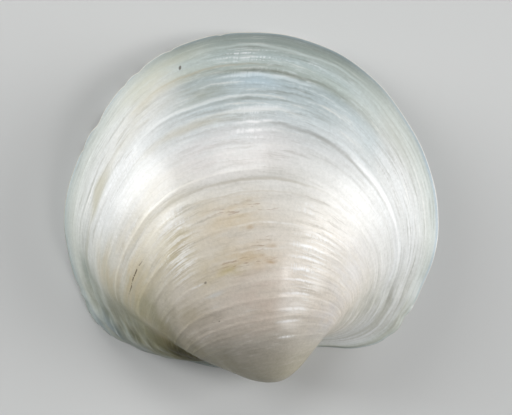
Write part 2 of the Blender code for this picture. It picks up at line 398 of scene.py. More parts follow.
# Corners where the shell grew unsteadily: (bearing in degrees, spread, height of the waves in mm)
WAVY = ((165, 8, 0.30), (20, 8, 0.10))
WAVE_SCALE = 0.22  # waves to a mm of the chart
LINE_SIZES = ((1.0, 0.8), (0.25, 1.4))  # how dense the lines are, and their share of the height


def charted(age, bearing):
    """A place on the shell laid out flat: mm from the apex, its two directions, and all in one."""
    grown = put(EXPONENT, put(MULTIPLY, age, -1.0))
    grown = put(MULTIPLY, grown, CHART)
    east = put(MATH, bearing, operation="COSINE")
    north = put(MATH, bearing, operation="SINE")
    return grown, east, north, put(V_SCALE, put(COMBINE, east, north), grown)


grown, east, north, on_chart = charted(age, bearing)
waves = put(NOISE, on_chart, WAVE_SCALE, 1.0)
for *place, height in WAVY:
    wave = put(RANGE, waves, 0.3, 0.7, -height, height)
    total = put(MULTIPLY_ADD, bump(bearing, *place, wave), fades, total)
grown = put(DIVIDE, grown, given["Line spacing"])
east = put(MULTIPLY_ADD, east, WANDER, given["Seed"])
north = put(MULTIPLY_ADD, north, WANDER, given["Seed"])
along_lines = put(COMBINE, grown, east, north)
calm = put(ADD, bump(bearing, *BACK_FLANK, -CALM), 1.0)
calm = put(MULTIPLY, calm, given["Line height"])
for density, share in LINE_SIZES:
    noise = put(NOISE, along_lines, density, 1.0)
    line = put(RANGE, noise, 0.0, 1.0, -share, share)
    total = put(MULTIPLY_ADD, line, calm, total)

# All relief runs out towards the hinge line and towards the very edge.
off_hinge = eased(given["Reach"], 1.0, 6.5)
off_edge = eased(given["Ring age"], 0.0, 0.02)
deliver(result, Height=times(total, off_hinge, off_edge))
print("nodes of relief:", len(relief.nodes))

# %% [markdown]
# ## The edge and the hinge plate
#
# The valve rests on a narrow flat edge. Under the beak the edge widens to the hinge plate.
# This clam has no hinge teeth: the two valves were held by a springy ligament alone, which
# sat in a groove behind the beak. A profile could be swept round the margin, but the width
# changes along the way, so the edge is a second grid that steps inward from the margin.

# %% Start of the edge, shared by the edge and the inside
EDGE = {"Edge width": 0.8, "Hinge plate": 3.3, "Groove": 0.45}  # mm
HINGE_SIDE = (-19.0, -13.0)  # the edge is a plate below the first Y and plain above the other
GROOVE_BACK = (-15.0, -11.0)  # X over which the groove deepens, from the back
GROOVE_FRONT = (-1.0, 2.0)  # X over which it runs out under the beak
INNER_LIP = 0.12  # mm by which the edge rounds up where the hollow begins
ABOVE_TABLE = (-100.0, -100.0, 0.0)  # the lowest X, Y and Z that the edge may have

brink, given, result = node_tree(
    "brink",
    {"Curve": ("Geometry", None), "Around": 0.0, "Lift": ("Vector", None)} | EDGE,
    {"Start": "Vector", "Across": "Vector", "Width": "Float", "Groove": "Float"},
)
read = put(GROUP, given["Curve"], given["Around"], node_tree=reading).outputs
nicked = put(V_ADD, read["Point"], read["Nick"])
start = put(GROUP, nicked, read["Chip"], node_tree=growth)
start = put(V_MULTIPLY, start, given["Lift"])
start = put(VECTOR, start, ABOVE_TABLE, operation="MAXIMUM")
at = put(SEPARATE, read["Point"]).outputs
near_hinge = eased(at["Y"], *HINGE_SIDE, 1.0, 0.0)
width = put(RANGE, near_hinge, 0.0, 1.0, given["Edge width"], given["Hinge plate"])
behind = eased(at["X"], *GROOVE_BACK)
before = eased(at["X"], *GROOVE_FRONT, 1.0, 0.0)
groove = times(behind, before, near_hinge, given["Groove"])
across = put(V_SCALE, read["Inward"], width)
deliver(result, Start=start, Across=across, Width=width, Groove=groove)
print("the start of the edge takes", len(brink.nodes), "nodes")

# %% [markdown]
# ## The tree that grows the valve
#
# The whole valve is three flat grids bent into place: the outer face from margin to beak,
# the narrow flat edge that it rests on, and the hollow inside. Each grid runs once round the
# margin one way and from old to young shell the other way, and its first and last columns
# meet, so merging by distance closes it. All lengths in the tree are millimetres, which are
# easier to read than metres, and the last step scales the valve down.

# %% Inputs of the tree
# All in mm, but for the greatest age on the valve and the seed
SIZES = {"Depth": 18.0, "Wall": 1.1, "Edge wall": 0.7, "Oldest": 4.2} | EDGE | RELIEF
COUNTS = {"Points round": 236, "Rings outside": 330, "Rings on edge": 11, "Rings inside": 56}
BORDER = 0.4999  # half the width of a grid, less a little
SEAM = 0.0005  # mm between two border points that are taken for one
shape, given, result = node_tree(
    "grow a valve",
    {"Margin": ("Object", None)}
    | SIZES
    | {name: ("Int", count) for name, count in COUNTS.items()}
    | {"Outer finish": ("Material", None), "Inner finish": ("Material", None)},
    {"Geometry": "Geometry"},
)
curve = put("GeometryNodeObjectInfo", given["Margin"]).outputs["Geometry"]
columns = put(ADD, given["Points round"], 1.0)
position = put("GeometryNodeInputPosition")

# Only points on the borders of the grids may merge, and only when they lie together.
from_middle = put(SEPARATE, put(VECTOR, position, operation="ABSOLUTE")).outputs
farther = put(MAXIMUM, from_middle["X"], from_middle["Y"])
on_border = put(MATH, farther, BORDER, operation="GREATER_THAN")
sewing = {"Selection": put(READ, "border", data_type="FLOAT"), "Distance": SEAM}
print("inputs of the tree:", len(given) - 1)

# %% Outer face: a grid bent by the growth rule
HEALED = 0.1  # age by which the lines above a chip run smooth again
grid = put("GeometryNodeMeshGrid", 1.0, 1.0, columns, given["Rings outside"])
flat = put(SEPARATE, position).outputs
around = put(ADD, flat["X"], 0.5)
up_it = put(ADD, flat["Y"], 0.5)
read = put(GROUP, curve, around, node_tree=reading).outputs
# The last two rings have the same age, and the last is drawn together to close the beak.
last_ring = put(ADD, given["Rings outside"], -1.0)
ring_before = put(ADD, last_ring, -1.0)
stretched = put(MULTIPLY, up_it, put(DIVIDE, last_ring, ring_before))
stretched = put(MATH, stretched, 1.0, operation="MINIMUM")
smallest = put(EXPONENT, put(MULTIPLY, given["Oldest"], -1.0))
size = put(RANGE, stretched, 0.0, 1.0, 1.0, smallest)
plain_age = put(MATH, size, math.e, operation="LOGARITHM")
plain_age = put(MULTIPLY, plain_age, -1.0)
heals = eased(plain_age, 0.0, HEALED, 1.0, 0.0)
age = put(MULTIPLY_ADD, read["Chip"], heals, plain_age)
is_tip = put(MATH, flat["Y"], BORDER, operation="GREATER_THAN")
nicked = put(V_ADD, read["Point"], put(V_SCALE, read["Nick"], heals))
drawn_from = put(MIX, is_tip, nicked, (0.0, 0.0, 0.0), data_type="VECTOR")
grow = put(GROUP, drawn_from, age, node_tree=growth).outputs

outside = grid.outputs["Mesh"]
stored = {"age": age, "bearing": read["Bearing"], "reach": grow["Reach"], "ring_age": plain_age}
for name, value in (stored | {"border": on_border}).items():
    outside = put(STORE, outside, None, name, value)
outside = put(PLACE, outside, None, grow["Place"])

# The dome is as tall as the depth says, whatever the growth constants are.
height = put(SEPARATE, position).outputs["Z"]
heights = put("GeometryNodeAttributeStatistic", outside, None, height)
rise = put(DIVIDE, given["Depth"], heights.outputs["Max"])
lift = put(COMBINE, 1.0, 1.0, rise)
outside = put(PLACE, outside, None, put(V_MULTIPLY, position, lift))
print("outer face:", COUNTS["Points round"], "points round and", COUNTS["Rings outside"], "rings")

# %% Lip
# Near the front end the dome would come down to the margin's plane too early. The lip eases
# it up there, so that the edge keeps some thickness.
LIP = 0.35  # mm
LIP_AGE = 0.04  # age at which the face has risen to the lip
LIP_SOFTNESS = 0.6  # share of the lip over which the face turns into it

stored = {name: put(READ, name, data_type="FLOAT") for name in stored}
lip = eased(stored["ring_age"], 0.0, LIP_AGE, 0.0, LIP)
soft = put(MULTIPLY, lip, LIP_SOFTNESS)
soft = put(MULTIPLY, soft, soft)
above = put(SUBTRACT, height, lip)
above = put(MULTIPLY_ADD, above, above, soft)
above = put(ADD, put(MATH, above, operation="SQRT"), height)
above = put(MULTIPLY, put(ADD, above, lip), 0.5)
at = put(SEPARATE, position).outputs
outside = put(PLACE, outside, None, put(COMBINE, at["X"], at["Y"], above))
plain = put(MERGE, outside, into=sewing)
print("the edge is lifted by", LIP, "mm at the least")

# %% Relief stands on the plain face
values = [stored[name] for name in ("age", "bearing", "reach", "ring_age")]
values += [given[name] for name in RELIEF]
standing = put(GROUP, *values, node_tree=relief)
offset = put(V_SCALE, put("GeometryNodeInputNormal"), standing)
outside = put(PLACE, plain, None, None, offset)

# The chart is the shell laid out flat: mm from the apex, at the bearing. Patterns use it.
on_chart = charted(stored["age"], stored["bearing"])[-1]
outside = put(STORE, outside, None, "chart", on_chart, data_type="FLOAT_VECTOR")
print("the chart reaches", CHART, "mm from the apex")

# %% [markdown]
# ### The flat edge
#
# The second grid starts at the brink and steps straight inward. The groove is pressed into it
# where the edge widens to the hinge plate, and its last rings round up into the hollow.

# %% Flat edge: a second grid
GROOVE_AT = (0.62, 0.09)  # middle and spread of the groove, in shares of the plate's width
values = [given[name] for name in EDGE]
start = put(GROUP, curve, around, lift, *values, node_tree=brink).outputs
edge = put("GeometryNodeMeshGrid", 1.0, 1.0, columns, given["Rings on edge"])
grooved = put(GROUP, up_it, *GROOVE_AT, start["Groove"], node_tree=bell)
lip = eased(up_it, 0.8, 1.0, 0.0, INNER_LIP)
edge_height = put(COMBINE, 0.0, 0.0, put(ADD, grooved, lip))
edge_place = put(V_SCALE, start["Across"], up_it)
edge_place = put(V_ADD, edge_place, start["Start"])
edge_place = put(V_ADD, edge_place, edge_height)
edge = put(STORE, edge, None, "border", on_border)
edge = put(PLACE, edge, None, edge_place)
print("rings on the edge:", COUNTS["Rings on edge"])

# %% [markdown]
# ## The hollow inside
#
# The inner face follows the outer one at the thickness of the wall, but without its relief.
# An offset of the outer face would fold over itself under the beak. So each point of the
# third grid looks straight up, finds the outer face there and steps back from it along its
# normal. Near the edge it blends from the flat face into the bowl.

# %% Inside: a third grid under the outer face
BOWL_CENTRE = (-1.0, -2.0, 0.0)
INWARD_POWER = 1.5  # above 1 the rings crowd near the edge, where the inside curves most
THICKENING = 6.0  # distance from the edge over which the wall reaches its full thickness
SCAR_DEPTH = 0.07
EVENING = 5  # rounds of smoothing for the bowl
# Muscle scars as (plan centre in mm, half sizes in mm): the front one is long and narrow
SCARS = (((15.6, -3.5, 0.0), (2.1, 6.2, 99.0)), ((-15.8, -6.0, 0.0), (3.0, 4.4, 99.0)))
FLATTEN = (1.0, 1.0, 0.0)


def off_scar(place, centre, half_size):
    """How far a place is from the middle of a muscle scar: 1 on its border."""
    off = put(V_SUBTRACT, place, centre)
    return put(V_LENGTH, put(VECTOR, off, half_size, operation="DIVIDE"))


inside = put("GeometryNodeMeshGrid", 1.0, 1.0, columns, given["Rings inside"])
inner_edge = put(V_ADD, start["Start"], start["Across"])
inner_edge = put(V_ADD, inner_edge, (0.0, 0.0, INNER_LIP))
in_it = put(MATH, up_it, INWARD_POWER, operation="POWER")
plan = put(MIX, in_it, inner_edge, BOWL_CENTRE, data_type="VECTOR")
plan = put(V_MULTIPLY, plan, FLATTEN)
below = put(V_ADD, plan, (0.0, 0.0, -1.0))
names = {"Target Geometry": plain, "Source Position": below, "Ray Direction": UP}
hit = put("GeometryNodeRaycast", into=names).outputs
gone = put(V_MULTIPLY, inner_edge, FLATTEN)
gone = put(VECTOR, plan, gone, operation="DISTANCE")
wall = put(RANGE, gone, 0.0, THICKENING, given["Edge wall"], given["Wall"])
for scar in SCARS:
    thinner = eased(off_scar(plan, *scar), 0.8, 1.0, SCAR_DEPTH, 0.0)
    wall = put(SUBTRACT, wall, thinner)
facing = put(SEPARATE, hit["Hit Normal"]).outputs["Z"]
facing = put(MATH, facing, operation="SIGN")
back = put(V_SCALE, hit["Hit Normal"], put(MULTIPLY, facing, wall))
bowl = put(V_SUBTRACT, hit["Hit Position"], back)
run_out = put(MULTIPLY, start["Width"], 2.0)
settled = eased(gone, 0.0, run_out)
inside_place = put(MIX, settled, inner_edge, bowl, data_type="VECTOR")
for name, value in {"settled": settled, "from_edge": gone, "border": on_border}.items():
    inside = put(STORE, inside, None, name, value)
inside = put(PLACE, inside, None, inside_place)
inside = put(MERGE, inside, into=sewing)
weight = put(READ, "settled", data_type="FLOAT")
names = {"Value": position, "Iterations": EVENING, "Weight": weight}
even = put("GeometryNodeBlurAttribute", data_type="FLOAT_VECTOR", into=names)
inside = put(PLACE, inside, None, even)
print("the wall is", SIZES["Edge wall"], "to", SIZES["Wall"], "mm thick")

# %% The three faces become one closed valve
under = put("GeometryNodeJoinGeometry")
for face in (edge, inside):
    shape.links.new(face.outputs[0], under.inputs[0])
under = put(STORE, under, None, "inner", True, data_type="BOOLEAN", domain="FACE")
whole = put("GeometryNodeJoinGeometry")
for face in (outside, under):
    shape.links.new(face.outputs[0], whole.inputs[0])
whole = put(MERGE, whole, into=sewing)
whole = put("GeometryNodeSetShadeSmooth", whole)
whole = put("GeometryNodeTransform", whole, into={"Scale": (1 / MM, 1 / MM, 1 / MM)})
whole = put("GeometryNodeRealizeInstances", whole)
whole = put("GeometryNodeSetMaterial", whole, None, given["Outer finish"])
is_inner = put(READ, "inner", data_type="BOOLEAN")
whole = put("GeometryNodeSetMaterial", whole, is_inner, given["Inner finish"])
deliver(result, Geometry=whole)
print("the tree that grows the valve takes", len(shape.nodes), "nodes")

# %% [markdown]
# ## Finish of the outer face
#
# A lucinid's shell is aragonite, the same mineral as mother of pearl, but laid down in fine
# crossed layers. It looks like unglazed porcelain: white and satin, with fine streaks that
# follow the growth lines. Old shell near the beak has gone ivory, young shell near the margin
# is thin and lets light through, so it looks cool and grey. The chart that was kept on the
# mesh makes this easy: its length tells how old a spot is and its direction the bearing.

# %% Reading the chart
def finish(name):
    """Start a material, and give it and the place on the valve in mm."""
    global tree
    made = bpy.data.materials.new(name)
    made.use_nodes = True
    tree = made.node_tree
    tree.nodes.clear()
    return made, put(V_SCALE, put("ShaderNodeTexCoord").outputs["Object"], MM)


# Porcelain aragonite gives the eye a satin white with soft glints.
outer, here = finish("porcelain_aragonite")
chart = put("ShaderNodeAttribute", attribute_name="chart").outputs["Vector"]
grown = put(V_LENGTH, chart)
youth = put(DIVIDE, grown, CHART)
age = put(MATH, youth, math.e, operation="LOGARITHM")
age = put(MULTIPLY, age, -1.0)
toward = put(VECTOR, chart, operation="NORMALIZE")
toward = put(SEPARATE, toward).outputs
degrees = put(MULTIPLY, bearing_of(toward), 180 / math.pi)
print("reading the chart takes", len(tree.nodes), "nodes")

# %% Patterns on the chart
CRINKLES = 1.1  # crinkles of the streaks to a mm
CRINKLE_DEPTH = 0.2  # mm
crinkle = put(NOISE, here, CRINKLES, 2.0, 0.6)
crinkled = put(MULTIPLY_ADD, crinkle, CRINKLE_DEPTH, grown)


def streaks(spacing, turn, detail=2.0, seed=0.0):
    """Noise that changes over spacing mm of growth, and turn times in a radian of bearing."""
    along = put(DIVIDE, crinkled, spacing)
    east = put(MULTIPLY_ADD, toward["X"], turn, seed)
    north = put(MULTIPLY_ADD, toward["Y"], turn, seed)
    return put(NOISE, put(COMBINE, along, east, north), 1.0, detail, 0.6)


def within(value, reach):
    """Noise spread evenly over that reach to both sides of 0."""
    return put(RANGE, value, 0.0, 1.0, -reach, reach)


def tint(colour, amount, hue, mode="MIX"):
    """The colour so far, mixed with a hue by that amount."""
    return put(MIX, amount, colour, hue, data_type="RGBA", blend_type=mode)


def ramp(value, stops):
    """A colour ramp with these (place, hex colour) stops."""
    node = put("ShaderNodeValToRGB", value)
    while len(node.color_ramp.elements) < len(stops):
        node.color_ramp.elements.new(0.5)
    for element, (at, hue) in zip(node.color_ramp.elements, stops):
        element.position = at
        element.color = linear(hue)
    return node


print("streaks are crinkled by", CRINKLE_DEPTH, "mm")

# %% [markdown]
# ### Colour by age, three ways round the shell
#
# The flanks are white almost to the margin and darken towards the beak, partly in the shell's
# own colour and partly as painted shade under the beak. The lower end is thinner and cooler,
# with darker bands where growth was slow. The back end behind the crease is darker and olive,
# partly stain and partly painted shade. So there are three ramps by age, mixed by bearing.

# %% Base colour
# The place on each ramp is the size of the shell when the spot was its margin: 1 is today.
# The dark start of the flank ramp, near the beak, is partly painted shade.
FLANK = (
    (0.0, "#9c927c"), (0.2, "#aea68f"), (0.33, "#c0b9ad"), (0.4, "#dcd1c3"), (0.5, "#e6ddd0"),
    (0.61, "#e9e3d9"), (0.67, "#ebe9e4"), (0.8, "#e7e9e9"), (0.9, "#dfe1e0"), (0.95, "#d5dad6"),
    (0.985, "#c8d0cd"), (1.0, "#a9bac5"),
)
LOWER_END = (
    (0.7, "#e8e8e4"), (0.77, "#dee1e2"), (0.83, "#cbd6d9"), (0.86, "#c3d0d4"), (0.885, "#aebcbe"),
    (0.897, "#aab4ae"), (0.912, "#bac6c1"), (0.93, "#b9c8c8"), (0.956, "#a9b5b0"),
    (0.975, "#96a19a"), (0.99, "#828f8c"), (1.0, "#8fa3ad"),
)
BACK_END = (
    (0.0, "#87805e"), (0.33, "#7a734f"), (0.42, "#6a6644"), (0.5, "#86815c"), (0.6, "#9c9a7a"),
    (0.72, "#9b9c88"), (0.8, "#a9ada0"), (0.86, "#a5aca2"), (0.93, "#b5baaf"), (0.97, "#adb7b4"),
    (1.0, "#9aa49f"),
)
wobble = within(streaks(3.0, 1.5), 0.02)
aged = put(ADD, youth, wobble)
slight = put(MULTIPLY_ADD, wobble, 0.35, youth)
colour = ramp(aged, FLANK)
drifted = put(ADD, degrees, within(streaks(6.0, 3.0, 2.0, 21.0), 14.0))
lower_end = times(eased(drifted, 54.0, 80.0), eased(drifted, 98.0, 122.0, 1.0, 0.0))
colour = tint(colour, times(lower_end, eased(youth, 0.70, 0.78)), ramp(slight, LOWER_END))
leaning = put(MULTIPLY_ADD, age, 28.0, drifted)
# Behind the crease the back-end ramp paints olive stain that is darkened further by painted shade.
at_back = times(eased(leaning, 130.0, 168.0), eased(degrees, 200.0, 250.0, 1.0, 0.0))
colour = tint(colour, at_back, ramp(aged, BACK_END))
print("stops on the ramps:", len(FLANK), len(LOWER_END), len(BACK_END))

# %% [markdown]
# ### Rows of spots
#
# The rest is painted spot by spot. A spot is a soft oval in growth and bearing, so it follows
# the growth lines. A painted image could hold the same marks, but rows are easier to move. Each
# row is one spot: its age and half its span in age, its bearing and half its span in degrees,
# and then what the table says.

# %% Spots
UNSTEADY = 0.012  # age by which the outline of a spot wavers
unsteady = within(streaks(9.0, 5.0, 3.0, 41.0), UNSTEADY)
growth_place = put(COMBINE, put(ADD, age, unsteady), degrees)


def spot(at_age, half_age, at_degrees, half_degrees, soft=0.8):
    """1 in the middle of a spot and 0 outside it."""
    narrower = (1 / half_age, 1 / half_degrees, 0.0)
    middle = (-at_age / half_age, -at_degrees / half_degrees, 0.0)
    off = put(VECTOR, growth_place, narrower, middle, operation="MULTIPLY_ADD")
    return eased(put(V_LENGTH, off), 1.0 - soft, 1.0, 1.0, 0.0)


def lay(colour, rows, soft, *covers, hue=None):
    """The colour so far, tinted by rows that end in a hue, if none is given, and an amount."""
    for *place, amount in rows:
        own = hue or place.pop()
        colour = tint(colour, times(spot(*place, soft), *covers, amount), own)
    return colour


print("the outline of a spot wavers by", round(CHART * UNSTEADY, 2), "mm near the margin")

# %% [markdown]
# ### Streaks and grain
#
# Three sizes of streak follow the growth lines. Fine ones run far round the shell, broad ones
# band it softly, and short dashes catch the eye at the lower end. They could be bump alone, but
# on the real shell they are whiter and greyer layers too. A fine grain breaks them up, as the
# crossed layers of the mineral do.

# %% Streaks
# Where the streaks are clear, as spots
CLEAR = (
    (0.46, 0.2, 113, 16), (0.5, 0.24, 66, 14), (0.78, 0.3, 70, 9), (0.17, 0.22, 90, 24),
    (0.12, 0.16, 45, 30), (0.12, 0.16, 132, 26),
)
clear = 0.0
for row in CLEAR:
    clear = put(MAXIMUM, clear, spot(*row))
patchy = put(RANGE, streaks(5.0, 4.0, 2.0, 17.0), 0.35, 0.65, 0.15, 0.45)
clear = put(MULTIPLY_ADD, clear, 0.55, patchy)
clear = times(clear, eased(youth, 0.15, 0.40, 0.3, 1.0), eased(at_back, 0.0, 1.0, 1.0, 0.5))

fine = streaks(0.34, 5.0, 3.5, 7.0)
colour = tint(colour, times(eased(fine, 0.30, 0.52, 0.60, 0.0), clear), "#a9a497", "MULTIPLY")
colour = tint(colour, times(eased(fine, 0.54, 0.74, 0.0, 0.8), clear), "#f7f6f2")
broad = streaks(1.7, 1.6, 2.0, 13.0)
colour = tint(colour, eased(broad, 0.36, 0.58, 0.14, 0.0), "#b5ae9c", "MULTIPLY")
dashes = streaks(0.34, 16.0, 2.0, 31.0)
at_dashes = times(lower_end, eased(youth, 0.74, 0.80), eased(youth, 0.94, 0.97, 1.0, 0.0))
colour = tint(colour, times(eased(dashes, 0.52, 0.72, 0.0, 0.35), at_dashes), "#e9f2f4")
print("places with clear streaks:", len(CLEAR))

# %% Painted glitter, a fan of painted glints, and grain
# Painted highlights: where short white flecks stand in for glitter, each row ending in how much
PAINTED_GLITTER = (
    (0.072, 0.024, 90, 14, 1.0), (0.13, 0.04, 90, 14, 0.5), (0.205, 0.02, 90, 10, 0.6),
    (0.252, 0.04, 90.5, 8, 1.0), (0.48, 0.16, 116, 13, 0.9), (0.62, 0.4, 72, 10, 0.6),
    (0.25, 0.22, 128, 18, 0.6), (0.22, 0.22, 52, 18, 0.4),
)
ribs = eased(streaks(9.0, 110.0, 1.0, 43.0), 0.42, 0.60, 0.15, 1.0)
flecks = times(eased(streaks(0.30, 6.0, 1.0, 37.0), 0.48, 0.64), ribs, 0.8)
colour = lay(colour, PAINTED_GLITTER, 0.8, flecks, hue="#fbfdff")
# Left of the middle, white streaks paint the glints of the fine ridges one by one, with darker
# shell between them.
fan = streaks(0.16, 4.0, 1.0, 97.0)
in_fan = spot(0.52, 0.16, 114, 9, 1.0)
colour = tint(colour, times(eased(fan, 0.40, 0.50, 0.55, 0.0), in_fan), "#b3a883")
colour = tint(colour, times(eased(fan, 0.51, 0.57), in_fan), "#ffffff")
grain = put(NOISE, here, 2.2, 3.0, 0.65)
mottled = put(RANGE, grain, 0.3, 0.7, 0.24, 0.0)
colour = tint(colour, mottled, "#b4b6b0", "MULTIPLY")
print("places that glitter:", len(PAINTED_GLITTER))

# %% [markdown]
# ### Lines, stains and specks
#
# These are what makes it this shell and no other: the pinched line near the lower margin,
# dark with painted shade, with a warm one beside it, the pale ridges with painted highlights,
# ochre stains in the middle, and a few pits with dirt in them. Painted shade also darkens the
# beak, the crease and the hollows, and painted highlights brighten the glints. Each row ends in
# its hue, where the table has several, and how strong it is.

# %% Lines along the growth
# Among these, white lines along ridges are painted highlights and dark lines in the grooves beside
# them are painted shade.
GROWTH_LINES_AND_PAINTED_LIGHT = (
    (0.11, 0.006, 87, 18, "#82867b", 0.55), (0.096, 0.005, 102, 18, "#a69a80", 0.45),
    (0.122, 0.008, 88, 15, "#e3edf0", 0.6), (0.172, 0.006, 103, 22, "#f5f8f6", 0.45),
    (0.18, 0.006, 98, 24, "#8d938d", 0.35), (0.205, 0.006, 92, 18, "#f4f4f0", 0.4),
    (0.225, 0.014, 50, 24, "#ffffff", 0.5), (0.24, 0.008, 66, 29, "#93928a", 0.4),
    (0.236, 0.007, 80, 12, "#8b8c88", 0.4), (0.2, 0.008, 90, 9, "#ffffff", 0.4),
    (0.03, 0.014, 92, 18, "#7b8986", 0.35), (0.045, 0.006, 86, 26, "#cdd8d6", 0.5),
    (0.15, 0.028, 133, 9, "#b1ac91", 0.65), (0.152, 0.014, 146, 9, "#8f8c74", 0.35),
    (0.35, 0.005, 112, 30, "#f3f1ea", 0.5), (0.375, 0.007, 90, 32, "#b5ae9f", 0.5),
    (0.41, 0.004, 95, 30, "#c5bdaf", 0.4),
)
colour = lay(colour, GROWTH_LINES_AND_PAINTED_LIGHT, 0.8)
print("lines:", len(GROWTH_LINES_AND_PAINTED_LIGHT))

# %% Painted highlights: white glints along the ridges, broken up by the fine ribs that cross them
PAINTED_GLINTS = (
    (0.495, 0.006, 64, 9, 0.5), (0.52, 0.007, 67, 11, 0.6), (0.547, 0.005, 66, 9, 0.55),
    (0.575, 0.009, 71, 11, 0.85), (0.598, 0.005, 67, 9, 0.6), (0.62, 0.009, 71, 11, 0.9),
    (0.646, 0.006, 67, 9, 0.6), (0.672, 0.011, 72, 11, 1.0), (0.697, 0.006, 68, 9, 0.55),
    (0.722, 0.01, 72, 11, 0.95), (0.755, 0.006, 70, 9, 0.5), (0.79, 0.012, 73, 10, 0.9),
    (0.88, 0.021, 74, 9, 1.0), (0.96, 0.017, 77, 8, 0.95), (1.08, 0.017, 77, 7, 0.8),
    (0.39, 0.007, 112, 6, 0.8), (0.425, 0.007, 114, 6, 0.8), (0.455, 0.007, 111, 6, 0.9),
    (0.48, 0.007, 114, 5, 0.9), (0.505, 0.007, 112, 5, 0.9), (0.53, 0.007, 112, 5, 1.0),
    (0.553, 0.007, 114, 5, 1.0), (0.574, 0.008, 113, 5, 1.0), (0.668, 0.007, 111, 4, 0.9),
    (0.232, 0.006, 90.5, 7, 0.8), (0.252, 0.008, 90.5, 7, 1.0), (0.505, 0.006, 88, 20, 0.5),
    (0.592, 0.006, 90, 18, 0.45),
)
broken = put(RANGE, streaks(0.7, 30.0, 2.0, 71.0), 0.36, 0.53, 0.35, 1.0)
colour = lay(colour, PAINTED_GLINTS, 1.0, broken, hue="#ffffff")
print("polished ridges:", len(PAINTED_GLINTS))

# %% Stains, painted shade and painted highlights
# Ochre, olive and rust stains, mixed with painted shade: the dark olive rows below the beak, along
# the crease and in the hollows of the back end. The pale rows under the glints ahead of the beak
# and left of the middle are painted highlights.
STAINS_AND_PAINTED_LIGHT = (
    (0.47, 0.12, 97, 17, "#cdb073", 0.42), (0.62, 0.09, 93, 17, "#c8a960", 0.45),
    (0.42, 0.2, 136, 19, "#d0ba86", 0.42), (0.45, 0.26, 118, 20, "#d9cb9f", 0.4),
    (0.216, 0.018, 105, 22, "#c6ba9a", 0.35), (0.1, 0.02, 113, 14, "#c6bb9d", 0.35),
    (0.148, 0.034, 104, 12, "#8f907b", 0.65), (0.8, 0.35, 88, 22, "#d2b3a4", 0.22),
    (0.15, 0.3, 17, 15, "#b0aea0", 0.55), (0.6, 0.5, 20, 22, "#aeb0a8", 0.45),
    (0.3, 0.1, 96, 24, "#e9dcd8", 0.35), (0.06, 0.07, 113, 16, "#c2bfa4", 0.5),
    (0.66, 0.24, 146, 16, "#b7a377", 0.37), (0.13, 0.05, 119, 14, "#bfb9a0", 0.4),
    (0.06, 0.07, 60, 15, "#b5b9ad", 0.4), (0.135, 0.03, 91, 10, "#bfd6e4", 0.45),
    (0.55, 0.3, 50, 22, "#e8e9ee", 0.4), (0.656, 0.034, 98, 7, "#b0a264", 0.52),
    (0.505, 0.03, 113, 5, "#94846a", 0.28), (0.518, 0.012, 91.2, 1.8, "#b39262", 0.6),
    (0.585, 0.018, 84.5, 2.6, "#b39262", 0.5), (0.645, 0.013, 84.5, 2.8, "#ae8850", 0.6),
    (0.735, 0.018, 105, 5, "#dfe8f0", 0.55), (1.1, 0.12, 140, 16, "#6d6450", 0.5),
    (0.43, 0.08, 121, 11, "#f6f2e6", 0.55), (0.89, 0.24, 75, 11, "#f6f1ea", 0.75),
    (0.28, 0.1, 157, 6, "#6f6f58", 0.6), (0.43, 0.11, 156, 6, "#6f6f58", 0.6),
    (0.6, 0.13, 151, 7, "#6d6b52", 0.6), (0.8, 0.2, 153, 10, "#4a4834", 0.85),
    (0.86, 0.24, 160, 14, "#3a3724", 0.9), (1.02, 0.24, 158, 20, "#3d3826", 0.85),
    (0.13, 0.05, 153, 5, "#8d978f", 0.6), (1.2, 0.2, 150, 34, "#5a5038", 0.85),
    (0.28, 0.12, 145, 13, "#c8b489", 0.4), (0.9, 0.35, 50, 26, "#b9bcc6", 0.35),
    (0.95, 0.2, 135, 16, "#a99a78", 0.4), (0.64, 0.16, 105, 13, "#c9b678", 0.28),
    (0.77, 0.16, 119, 14, "#a89b74", 0.38), (0.72, 0.22, 66, 8, "#f6f1ea", 0.45),
    (0.18, 0.04, 160, 5, "#8d978f", 0.6), (0.28, 0.06, 164, 5, "#868f84", 0.8),
    (0.05, 0.05, 168, 9, "#94a3a8", 0.75), (0.16, 0.1, 168, 10, "#717d7c", 1.0),
    (0.26, 0.06, 173, 9, "#9ba7a7", 0.8), (0.37, 0.08, 173, 9, "#a2adab", 0.8),
    (0.5, 0.09, 174, 9, "#9fa9a4", 0.75), (0.66, 0.1, 173, 9, "#757a6c", 0.75),
    (0.8, 0.16, 170, 9, "#55574a", 0.7), (0.66, 0.18, 157, 9, "#55533c", 0.55),
)
uneven = eased(streaks(1.1, 5.0, 3.0, 51.0), 0.34, 0.62, 0.35, 1.0)
colour = lay(colour, STAINS_AND_PAINTED_LIGHT, 1.0, uneven)
print("stains:", len(STAINS_AND_PAINTED_LIGHT))

# %% Wavy corners: at the back, darker in the hollows, partly stain and partly painted shade, and a painted sheen on the crests
waves = put(NOISE, chart, WAVE_SCALE, 1.0)
corner = times(eased(leaning, 152.0, 172.0), eased(youth, 0.46, 0.60))
stirred = eased(streaks(1.2, 6.0, 3.0, 91.0), 0.0, 1.0, -0.12, 0.12)
stirred = put(ADD, waves, stirred)
hollow = times(eased(stirred, 0.32, 0.62, 0.45, 0.0), eased(degrees, 162.0, 169.0, 1.0, 0.1))
colour = tint(colour, times(hollow, corner), "#77775f")
colour = tint(colour, times(eased(stirred, 0.44, 0.74, 0.0, 0.30), corner), "#bcc6c8")
corner = times(eased(degrees, 16.0, 44.0, 1.0, 0.0), eased(youth, 0.45, 0.60))
soft = streaks(1.7, 3.5, 3.0, 81.0)
colour = tint(colour, times(eased(soft, 0.36, 0.60, 0.35, 0.0), corner), "#a5a48e")
colour = tint(colour, times(eased(soft, 0.50, 0.70, 0.0, 0.35), corner), "#eceff0")
print("wavy corners at bearings:", [row[0] for row in WAVY])

